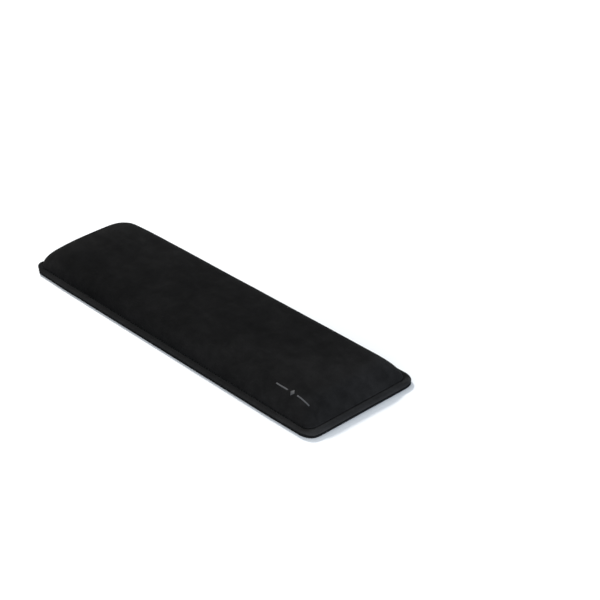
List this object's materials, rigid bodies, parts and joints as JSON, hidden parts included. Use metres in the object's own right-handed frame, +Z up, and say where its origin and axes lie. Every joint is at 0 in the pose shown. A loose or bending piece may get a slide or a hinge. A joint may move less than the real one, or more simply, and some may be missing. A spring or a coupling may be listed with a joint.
{
  "type": "keyboard wrist rest",
  "caption": "Long padded wrist rest with a crowned foam core under a suede-effect cover, a rolled rim, a stiffener board and an anti-slip rubber base.",
  "frame": {"origin": "centre of the footprint, on the surface the rest lies on", "axes": "+X along the length, towards the end with the corner mark; +Y across the depth, towards the keyboard; +Z up, out of the padded top"},
  "size_m": [0.363, 0.1044, 0.022],
  "materials": {
    "cover_suede": "matt suede-effect microfibre with a short nap",
    "rim_suede": "the same suede-effect cloth, stretched over the rim",
    "foam": "open-cell slow-rebound urethane foam",
    "filler": "soft braided filler",
    "thread": "matt spun polyester thread",
    "board": "dense pressed board",
    "adhesive": "thin adhesive film",
    "base_rubber": "matt anti-slip rubber with a fine moulded grip pattern",
    "mark_film": "thin matt transfer film"
  },
  "bodies": {
    "root": {"top_cover": "cover_suede", "foam_core": "foam", "edge_binding": "rim_suede", "rim_filler": "filler", "seam_thread": "thread", "stiffener_board": "board", "core_adhesive": "adhesive", "base_adhesive": "adhesive", "base_sheet": "base_rubber", "corner_mark": "mark_film"}
  },
  "joints": []
}
